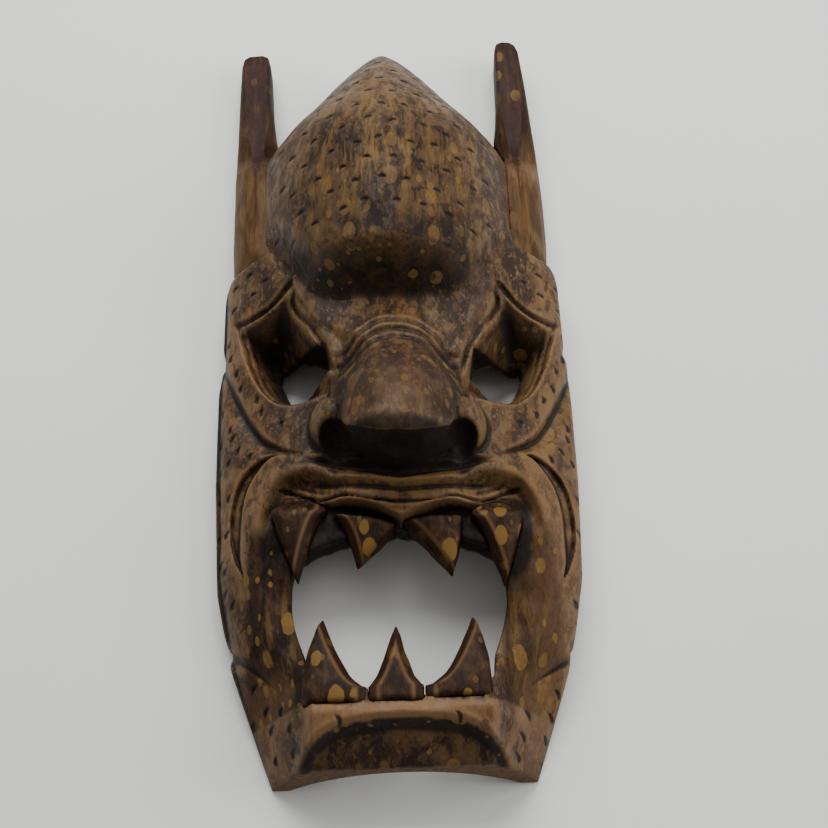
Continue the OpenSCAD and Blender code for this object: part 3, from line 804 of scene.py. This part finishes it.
def body_attributes(points, edge, ceiling, hollow_edge):
    """What the body's material has to know at each point, mostly from the maps of stain, painted shade and
    painted sheen.
    """
    depth = points[:, 2]
    front = ease(2.5, 0.8, np.abs(depth - on_grid(surface, points)))
    roof = on_grid(ceiling, points)
    from_wall = on_grid(hollow_edge, points)
    inside = np.maximum(ease(3.0, 1.5, np.abs(depth - roof)),
                        ease(3.0, 1.5, np.abs(from_wall)) * (depth < roof + 2))
    inside = np.maximum(inside * (from_wall < 3), ease(1.5, 0.7, depth))
    inside = np.maximum(inside, ease(-194.0, -195.2, points[:, 1])) * (1 - front)
    # The outer side walls get less painted shade than the cavities
    walls = 1 - 0.8 * ease(-3.5, -2.0, on_grid(edge, points))
    maps = {"mark": marks, "under": under, "ochre": np.clip(ochre, 0, 1), "pink_sheen": np.clip(pink_sheen, 0, 1),
            "dark": dark, "shade": shade}
    attributes = {key: on_grid(values, points) * front for key, values in maps.items()}
    bumps = on_grid(relief, points)
    attributes["crease_shade"] = np.clip(-bumps, 0, 2) * front
    attributes["crest"] = np.clip(bumps, 0, 2) * front
    # Painted shade on the carved walls that stand off the front surface
    attributes["shade"] = np.maximum(attributes["shade"], (1 - front) * (1 - inside) * walls)
    attributes["inside"] = inside
    return attributes


def make_body():
    """The face block in one piece, with everything that is cut into it."""
    zs = np.arange(-2.25, 86.0, STEP)
    z = zs[None, None, :].astype(np.float32)
    edge = outline_distance(both_sides(BODY_OUTLINE), X, Y, smooth=False)
    # Notches in the outline at the jaw and below the brow
    edge += (2.2 * np.exp(-((V + 139) / 3.5) ** 2) + 1.6 * np.exp(-((V - 4) / 3.0) ** 2)) * (U > 60)
    ceiling = hollow_ceiling()
    hollow_edge = outline_distance(both_sides(HOLLOW_OUTLINE), X, Y, smooth=False)
    field = cut_openings(carved_front(z, edge), z, ceiling, hollow_edge)
    cut_joints(field, z)
    points, faces = surface_net(field, (xs[0], ys[0], zs[0]), STEP)
    return mesh_piece("carved_face", points, faces, body_attributes(points, edge, ceiling, hollow_edge))


# ---------------- horns

# Outline of a horn with its ear-like foot: its outer side from the foot to the tip, then its inner side
HORN_OUTER = [(50, 51.8), (58, 51.5), (64, 50.4), (70, 49.9), (73.8, 51.5), (75.6, 56), (76.6, 72),
              (76.6, 90), (75.8, 112), (74.2, 135), (72.8, 170), (71.8, 187), (70.6, 192.5), (68, 195)]
HORN_INNER = [(63.5, 195.5), (60.5, 193.5), (59.3, 188), (58, 160), (56, 140), (54, 127.5), (50, 122)]
HORN_STEP = 0.6
# side of the mask, lean of the outer and the inner side towards the middle at the tip, thickness at the tip
HORNS = {"left_horn": (-1, -3.0, 0.0, 15.5), "right_horn": (1, 2.5, 2.5, 19.5)}


def lean_share(y):
    """Share of its lean that a horn has at y: it starts to lean beside the ear and ends at the tip."""
    return (np.maximum(0, y - 85) / 110.5) ** 1.5


def make_horn(name):
    """A horn with its ear-like foot, which lies against the forehead."""
    side, lean_out, lean_in, tip_thick = HORNS[name]
    low, high = (side * HORN_MIDDLE - 12, 48.5, -1.0), (side * HORN_MIDDLE + 12, 197, 31.0)
    x, y, z = block(low, high, HORN_STEP)
    u = side * x
    outline = [(px - lean * lean_share(py), py)
               for line, lean in ((HORN_OUTER, lean_out), (HORN_INNER, lean_in)) for px, py in line]
    edge = outline_distance(outline, u[:, :, 0], y[:, :, 0], smooth=False)
    # The ear carries on from the forehead beside it
    beside = np.interp(y, ys, height[np.searchsorted(xs, side * (HORN_SEAT - 0.5))])
    ear = np.clip(beside, 18.0, 28.5) * bulge((u - HORN_SEAT) / 19.6, 2.2, 0.5)
    # The free part has a flat front facet between rounded shoulders; the facet runs down to a point
    thick = mix(25.0, tip_thick, ease(85, 190, y))
    middle = mix(64.0, 65.5, ease(110, 180, y)) - 0.5 * (lean_in + lean_out) * lean_share(y)
    on_facet = mix(0.0, 5.8, ease(84, 165, y)) - np.abs(u - middle)
    horn = thick - 0.9 * np.maximum(0, -on_facet) - 0.5 * ease(-1, 1, on_facet) - 1.6 * ease(186, 196.5, y)
    top = mix(ear, horn, ease(96, 132, y))
    top = top - 2.0 * ease(58, 47, y) + 0.25 * wander(x, y, 4.0, 21 + side)
    field = soft_max(edge[:, :, None], (z - top) * 0.9, 2.6)
    field = soft_max(field, -z, 0.8)
    # Its inner side lies against the forehead, up to where it stands free
    seat = np.interp(y, (115, 117.5, 126.8, 127), (HORN_SEAT, 56.9, 53.2, 50))
    field = np.maximum(np.maximum(field, seat - u), -dowel_field(side, x, y, z))
    origin = np.array((x[0, 0, 0], y[0, 0, 0], z[0, 0, 0]))
    points, faces = surface_net(field, origin, HORN_STEP)
    nearest = np.round((points - origin) / HORN_STEP).astype(int).T
    i, j, k = np.clip(nearest, 0, np.array(x.shape)[:, None] - 1)
    attributes = {
        "facet": ease(-0.6, 0.4, on_facet[i, j, k]) * ease(8, 11, points[:, 2]),
        "ear": ease(132, 100, points[:, 1] - 1.2 * (side * points[:, 0] - HORN_MIDDLE)),
    }
    return mesh_piece(name + "_carved", points, faces, attributes)


# ---------------- materials


class Shader:
    """One material being built; the coordinates are millimetres in the mask's frame."""

    def __init__(self, name):
        self.material = bpy.data.materials.new(name)
        self.material.use_nodes = True
        self.tree = self.material.node_tree
        self.bsdf = self.tree.nodes["Principled BSDF"]
        self.place = self.tree.nodes.new("ShaderNodeTexCoord").outputs["Object"]

    def add(self, kind, inputs=None, **settings):
        node = self.tree.nodes.new(kind)
        for key, value in settings.items():
            setattr(node, key, value)
        for key, value in (inputs or {}).items():
            if isinstance(value, bpy.types.NodeSocket):
                self.tree.links.new(value, node.inputs[key])
            else:
                node.inputs[key].default_value = value
        return node

    def coords(self, stretch=(1, 1, 1), offset=(0, 0, 0)):
        scale = [1000.0 * s for s in stretch]
        node = self.add("ShaderNodeMapping", {"Vector": self.place, "Scale": scale, "Location": offset})
        return node.outputs[0]

    def noise(self, stretch, size, detail=4.0, rough=0.55, bend=0.0, offset=(0, 0, 0)):
        """Noise between 0 and 1 with features of about size millimetres."""
        return self.add("ShaderNodeTexNoise", {
            "Vector": self.coords(stretch, offset), "Scale": 1.0 / size, "Detail": detail, "Roughness": rough,
            "Distortion": bend}).outputs[0]

    def attribute(self, name):
        return self.add("ShaderNodeAttribute", attribute_name=name).outputs["Fac"]

    def math(self, operation, a, b, clamp=False):
        return self.add("ShaderNodeMath", {0: a, 1: b}, operation=operation, use_clamp=clamp).outputs[0]

    def times(self, a, b):
        return self.math("MULTIPLY", a, b)

    def step(self, value, low, high, start=0.0, end=1.0):
        """A soft step from start to end where the value goes from low to high."""
        ends = {"Value": value, "From Min": low, "From Max": high, "To Min": start, "To Max": end}
        return self.add("ShaderNodeMapRange", ends, interpolation_type="SMOOTHSTEP").outputs[0]

    def blend(self, share, a, b, kind="MIX"):
        node = self.add("ShaderNodeMix", {"Factor": share}, data_type="RGBA", blend_type=kind)
        for key, value in ((6, a), (7, b)):
            if isinstance(value, bpy.types.NodeSocket):
                self.tree.links.new(value, node.inputs[key])
            else:
                node.inputs[key].default_value = (*value, 1)
        return node.outputs[2]

    def tinted(self, color, tint):
        return self.blend(1.0, color, tint, "MULTIPLY")

    def ramp(self, value, stops):
        node = self.add("ShaderNodeValToRGB", {"Fac": value})
        elements = node.color_ramp.elements
        while len(elements) < len(stops):
            elements.new(0.5)
        for element, (place, color) in zip(elements, stops):
            element.position = place
            element.color = (*color, 1)
        return node.outputs[0]

    def blotches(self, cell, share, size, offset):
        """Sharp-edged oval spots; share is the part of the cells that have one."""
        bend = self.add("ShaderNodeTexNoise", {"Vector": self.coords((1, 1, 1), offset), "Scale": 0.35,
                                               "Detail": 2.0}).outputs["Color"]
        place = self.add("ShaderNodeVectorMath", {0: self.coords((1, 0.62, 1), offset), 1: bend},
                         operation="ADD").outputs[0]
        spots = self.add("ShaderNodeTexVoronoi", {"Vector": place, "Scale": 1.0 / cell})
        pick = self.add("ShaderNodeSeparateColor", {"Color": spots.outputs["Color"]})
        near = self.math("ADD", spots.outputs["Distance"], self.times(pick.outputs[1], 0.18))
        near = self.step(near, size, size + 0.05, 1.0, 0.0)
        return self.times(near, self.math("LESS_THAN", pick.outputs[0], share))

    def gloss(self, specular, coat, coat_rough):
        self.bsdf.inputs["Specular IOR Level"].default_value = specular
        self.bsdf.inputs["Coat Weight"].default_value = coat
        self.bsdf.inputs["Coat Roughness"].default_value = coat_rough

    def finish(self, color, rough, bump, depth):
        """Joins colour, roughness and relief (depth in millimetres) to the surface."""
        self.tree.links.new(color, self.bsdf.inputs["Base Color"])
        self.tree.links.new(rough, self.bsdf.inputs["Roughness"])
        node = self.add("ShaderNodeBump", {"Height": bump, "Strength": 1.0, "Distance": depth * MM})
        self.tree.links.new(node.outputs[0], self.bsdf.inputs["Normal"])
        return self.material


NEAR_BLACK = (0.0055, 0.0026, 0.0015)
DARK_BROWN = (0.020, 0.0082, 0.0032)
BROWN = (0.052, 0.0235, 0.0085)
TAN = (0.116, 0.062, 0.021)
LIGHT_TAN = (0.130, 0.078, 0.038)
WORN_TAN = (0.150, 0.088, 0.038)
OCHRE = (0.165, 0.090, 0.019)
PINK_TAN = (0.190, 0.100, 0.045)
RAW_WOOD = (0.15, 0.086, 0.042)


def lacquered_wood():
    """Mottled brown lacquer with ochre spots, stained and rubbed, with painted shade and painted sheen where
    the maps say.
    """
    s = Shader("mask_wood")
    under, dark, shade, inside = (s.attribute(key) for key in ("under", "dark", "shade", "inside"))
    regions = s.noise((1, 0.7, 1), 42, 3, 0.5, 0.8)
    grain = s.noise((1, 0.06, 1), 1.3, 6, 0.65)
    speckle = s.noise((1, 0.5, 1), 1.6, 5, 0.7)
    mottle = s.noise((1, 0.55, 1), 13, 7, 0.62, 1.1)
    mottle = s.math("ADD", mottle, s.times(s.math("SUBTRACT", regions, 0.5), 0.75))
    color = s.ramp(mottle, [(0.40, DARK_BROWN), (0.51, BROWN), (0.61, TAN), (0.75, LIGHT_TAN)])
    color = s.blend(s.step(grain, 0.42, 0.66, 0.0, 0.38), color, s.tinted(color, (0.42, 0.34, 0.30)))
    color = s.blend(s.step(speckle, 0.57, 0.62, 0.0, 0.55), color, TAN)
    # Hard-edged dabs of the brush, lighter and darker, and small flecks
    dabs = s.noise((1, 0.6, 1), 5.5, 8, 0.68, 0.5, (17, 3, 5))
    color = s.blend(s.step(dabs, 0.545, 0.570, 0.0, 0.55), color, s.blend(speckle, TAN, WORN_TAN))
    color = s.blend(s.step(dabs, 0.450, 0.425, 0.0, 0.78), color, DARK_BROWN)
    flecks = s.noise((1, 0.8, 1), 2.2, 6, 0.6, 0.4, (5, 23, 2))
    color = s.blend(s.step(flecks, 0.60, 0.62, 0.0, 0.6), color, s.blend(mottle, OCHRE, PINK_TAN))
    # The darker parts with their painted shade, painted shade near-black on surfaces that face the chin,
    # painted pinkish sheen, and ochre streaks of stain
    deep = s.times(dark, s.step(mottle, 0.66, 0.40, 0.80, 1.0))
    color = s.blend(deep, color, s.tinted(color, (0.20, 0.125, 0.085)))
    color = s.blend(s.times(under, 0.86), color, NEAR_BLACK)
    wear_and_sheen = s.times(s.attribute("pink_sheen"), s.step(speckle, 0.30, 0.55, 0.45, 0.95))
    color = s.blend(wear_and_sheen, color, PINK_TAN)
    streaks = s.step(s.noise((1, 0.16, 1), 5.5, 6, 0.7, 0.6, (31, 7, 2)), 0.46, 0.60)
    streaks = s.times(streaks, s.attribute("ochre"))
    color = s.blend(s.times(streaks, 0.85), color, OCHRE)
    # Spots
    ochre_share = s.step(regions, 0.40, 0.62, 0.25, 1.0)
    ochre_share = s.math("MAXIMUM", ochre_share, s.math("MAXIMUM", under, dark))
    large = s.times(s.blotches(9.5, 0.42, 0.36, (0, 0, 0)), ochre_share)
    small = s.times(s.blotches(4.6, 0.30, 0.34, (13, 5, 8)), ochre_share)
    color = s.blend(s.times(large, 0.80), color, s.blend(s.step(speckle, 0.35, 0.65), OCHRE, TAN))
    color = s.blend(s.times(small, 0.62), color, OCHRE)
    dark_spots = s.times(s.blotches(7.0, 0.32, 0.34, (3, 40, 9)), s.step(regions, 0.58, 0.42))
    color = s.blend(s.times(dark_spots, 0.7), color, DARK_BROWN)
    # Rubbed crests, and painted shade, near-black, in creases, punch marks and cavities
    crest = s.math("MULTIPLY", s.attribute("crest"), s.step(speckle, 0.35, 0.58, 0.25, 1.15), clamp=True)
    crest = s.times(crest, s.step(dark, 0.0, 0.7, 1.0, 0.1))
    color = s.blend(crest, color, s.blend(regions, TAN, PINK_TAN))
    color = s.blend(s.step(s.attribute("crease_shade"), 0.08, 0.85, 0.0, 0.92), color, NEAR_BLACK)
    color = s.blend(s.step(s.attribute("mark"), 0.08, 0.40, 0.0, 0.93), color, NEAR_BLACK)
    color = s.blend(s.times(shade, 0.94), color, NEAR_BLACK)
    # Bare wood inside
    strands = s.noise((1, 0.05, 1), 2.4, 6, 0.6, 0.3)
    color = s.blend(inside, color, s.ramp(strands, [(0.3, (0.055, 0.028, 0.015)), (0.7, RAW_WOOD)]))
    rough = s.math("ADD", s.step(speckle, 0.25, 0.75, 0.44, 0.62), s.step(dabs, 0.40, 0.60, 0.10, -0.06))
    dull = s.math("MAXIMUM", s.math("MAXIMUM", inside, shade), dark)
    rough = s.math("ADD", rough, s.times(dull, 0.30), clamp=True)
    relief = s.math("ADD", s.times(grain, 0.5), s.times(speckle, 0.5))
    s.gloss(0.22, 0.04, 0.30)
    return s.finish(color, rough, relief, 0.35)


def tooth_wood():
    s = Shader("tooth_wood")
    mottle = s.noise((1, 0.6, 1), 7, 6, 0.6, 0.9)
    grain = s.noise((1, 0.09, 1), 1.1, 6, 0.65)
    speckle = s.noise((1, 0.6, 1), 1.3, 5, 0.7)
    color = s.ramp(mottle, [(0.42, (0.014, 0.0056, 0.0022)), (0.56, (0.034, 0.0155, 0.0060)),
                            (0.72, (0.075, 0.040, 0.016))])
    color = s.blend(s.step(grain, 0.42, 0.66, 0.0, 0.5), color, s.tinted(color, (0.45, 0.34, 0.3)))
    color = s.blend(s.times(s.blotches(8.0, 0.62, 0.40, (6, 2, 1)), 0.8), color, OCHRE)
    color = s.blend(s.times(s.blotches(3.8, 0.30, 0.34, (1, 9, 4)), 0.6), color, TAN)
    color = s.blend(s.times(s.attribute("edge"), 0.6), color, s.blend(grain, TAN, PINK_TAN))
    color = s.blend(s.times(s.attribute("bevel"), 0.72), color, (0.022, 0.008, 0.005))
    color = s.blend(s.step(s.attribute("point"), 0.90, 1.0, 0.0, 0.8), color, NEAR_BLACK)
    # Painted shade at the foot of each fang, where it goes into the face
    color = s.blend(s.times(s.attribute("root"), 0.8), color, NEAR_BLACK)
    s.gloss(0.11, 0.02, 0.35)
    return s.finish(color, s.step(speckle, 0.25, 0.75, 0.48, 0.64), s.math("ADD", grain, speckle), 0.14)


def horn_wood():
    """Lighter on the ear-like foot, dark and reddish on the horn's front facet."""
    s = Shader("horn_wood")
    regions = s.noise((1, 0.5, 1), 30, 3, 0.5, 0.6, (4, 9, 1))
    mottle = s.noise((1, 0.30, 1), 9, 7, 0.62, 0.9)
    grain = s.noise((1, 0.05, 1), 1.2, 6, 0.65)
    speckle = s.noise((1, 0.5, 1), 1.6, 5, 0.7)
    shifted_mottle = s.math("ADD", mottle, s.times(s.math("SUBTRACT", regions, 0.5), 0.4))
    color = s.ramp(shifted_mottle, [(0.44, DARK_BROWN), (0.60, BROWN), (0.74, TAN)])
    ear_tone = s.ramp(mottle, [(0.36, BROWN), (0.52, TAN), (0.68, (0.150, 0.092, 0.046))])
    color = s.blend(s.attribute("ear"), color, ear_tone)
    strands = s.noise((1, 0.12, 1), 4.0, 6, 0.6, 0.5)
    facet_tone = s.ramp(strands, [(0.34, (0.012, 0.004, 0.0025)), (0.58, (0.034, 0.0115, 0.006)),
                                  (0.76, (0.10, 0.042, 0.016))])
    color = s.blend(s.times(s.attribute("facet"), 0.85), color, facet_tone)
    color = s.blend(s.step(grain, 0.42, 0.66, 0.0, 0.5), color, s.tinted(color, (0.45, 0.36, 0.32)))
    spots = s.times(s.blotches(7.5, 0.40, 0.34, (2, 2, 7)), s.step(regions, 0.42, 0.6))
    color = s.blend(s.times(spots, 0.6), color, OCHRE)
    s.gloss(0.11, 0.02, 0.35)
    return s.finish(color, s.step(speckle, 0.25, 0.75, 0.48, 0.64), s.math("ADD", grain, speckle), 0.14)


def plain_wood():
    """Pale wood of the dowels, with its grain along them."""
    s = Shader("dowel_wood")
    grain = s.noise((0.08, 1, 1), 0.9, 6, 0.65)
    rings = s.noise((0.05, 1, 1), 3.0, 3, 0.5, 0.6)
    color = s.ramp(rings, [(0.3, (0.30, 0.185, 0.095)), (0.7, (0.46, 0.31, 0.175))])
    color = s.blend(s.step(grain, 0.45, 0.65, 0.0, 0.5), color, (0.22, 0.13, 0.07))
    return s.finish(color, s.step(grain, 0.2, 0.8, 0.5, 0.72), grain, 0.10)


def steel(name, tint):
    """Brushed steel, with wear in places."""
    s = Shader(name)
    brushed = s.noise((1, 0.04, 1), 0.35, 4, 0.6)
    wear_and_sheen = s.noise((1, 1, 1), 5.0, 5, 0.6, 0.4)
    color = s.blend(s.step(wear_and_sheen, 0.42, 0.66, 0.0, 0.7), tint, (0.30, 0.28, 0.25))
    s.bsdf.inputs["Metallic"].default_value = 1.0
    return s.finish(color, s.step(wear_and_sheen, 0.3, 0.7, 0.26, 0.48), brushed, 0.03)


def table_top():
    s = Shader("table_top")
    smudge = s.noise((1, 1, 1), 190, 4, 0.5, 0.3)
    dust = s.noise((1, 1, 1), 2.0, 4, 0.6)
    color = s.blend(s.step(smudge, 0.3, 0.7, 0.0, 1.0), (0.735, 0.745, 0.725), (0.785, 0.795, 0.77))
    return s.finish(color, s.step(smudge, 0.3, 0.7, 0.42, 0.55), dust, 0.01)


def make_camera():
    """The photograph's view: from above, leaning back towards the chin."""
    data = bpy.data.cameras.new("camera")
    data.sensor_width = 36.0
    data.lens = 18.0 / math.tan(math.radians(FIELD_OF_VIEW / 2))
    tilt, roll = math.radians(CAMERA_TILT), math.radians(CAMERA_ROLL)
    back = Vector((0, -math.sin(tilt), math.cos(tilt)))
    level = Vector((1, 0, 0))
    upright = back.cross(level)
    right = math.cos(roll) * level - math.sin(roll) * upright
    up = math.sin(roll) * level + math.cos(roll) * upright
    camera = bpy.data.objects.new("camera", data)
    place = (Vector(TARGET) + CAMERA_DISTANCE * back) * MM
    camera.matrix_world = Matrix.Translation(place) @ Matrix((right, up, back)).transposed().to_4x4()
    bpy.context.scene.collection.objects.link(camera)
    bpy.context.scene.camera = camera


def make_light(name, place, size, watts):
    """A rectangular lamp that faces the mask; place and size are in metres."""
    data = bpy.data.lights.new(name, "AREA")
    data.shape = "RECTANGLE"
    data.size, data.size_y = size
    data.energy = watts
    lamp = bpy.data.objects.new(name, data)
    lamp.location = place
    lamp.rotation_euler = (-Vector(place)).to_track_quat("-Z", "Y").to_euler()
    bpy.context.scene.collection.objects.link(lamp)


def make_stage():
    """Pale table top, soft light from all round and two lamps."""
    bpy.ops.mesh.primitive_plane_add(size=6, location=(0, 0, 0))
    floor = bpy.context.object
    floor.name = "floor"
    floor.data.materials.append(table_top())
    world = bpy.data.worlds.new("world")
    bpy.context.scene.world = world
    world.use_nodes = True
    world.node_tree.nodes["Background"].inputs[0].default_value = (1.0, 0.985, 0.95, 1)
    world.node_tree.nodes["Background"].inputs[1].default_value = 0.40
    make_light("overhead", (-0.1, 1.0, 1.2), (1.4, 0.9), 30)
    make_light("side", (1.3, 0.0, 0.9), (1.0, 1.0), 15)


make_camera()
make_stage()

body = make_body()
body.data.materials.append(lacquered_wood())
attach(body, "root")
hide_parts("mask_body")
material = tooth_wood()
for name in TEETH:
    tooth = make_tooth(name)
    tooth.data.materials.append(material)
    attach(tooth, "root")
    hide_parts(name)
material = horn_wood()
for name in HORNS:
    horn = make_horn(name)
    horn.data.materials.append(material)
    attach(horn, "root")
    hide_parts(name)
# The hidden CAD pieces stay as they are, with materials of their own
dowel_wood = plain_wood()
carried_over = {"left_horn_dowels": dowel_wood, "right_horn_dowels": dowel_wood,
                "hanger_plate": steel("hanger_steel", (0.56, 0.55, 0.52)),
                "hanger_screws": steel("screw_steel", (0.62, 0.60, 0.56))}
for name, material in carried_over.items():
    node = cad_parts[name]
    node.data.materials.clear()
    node.data.materials.append(material)
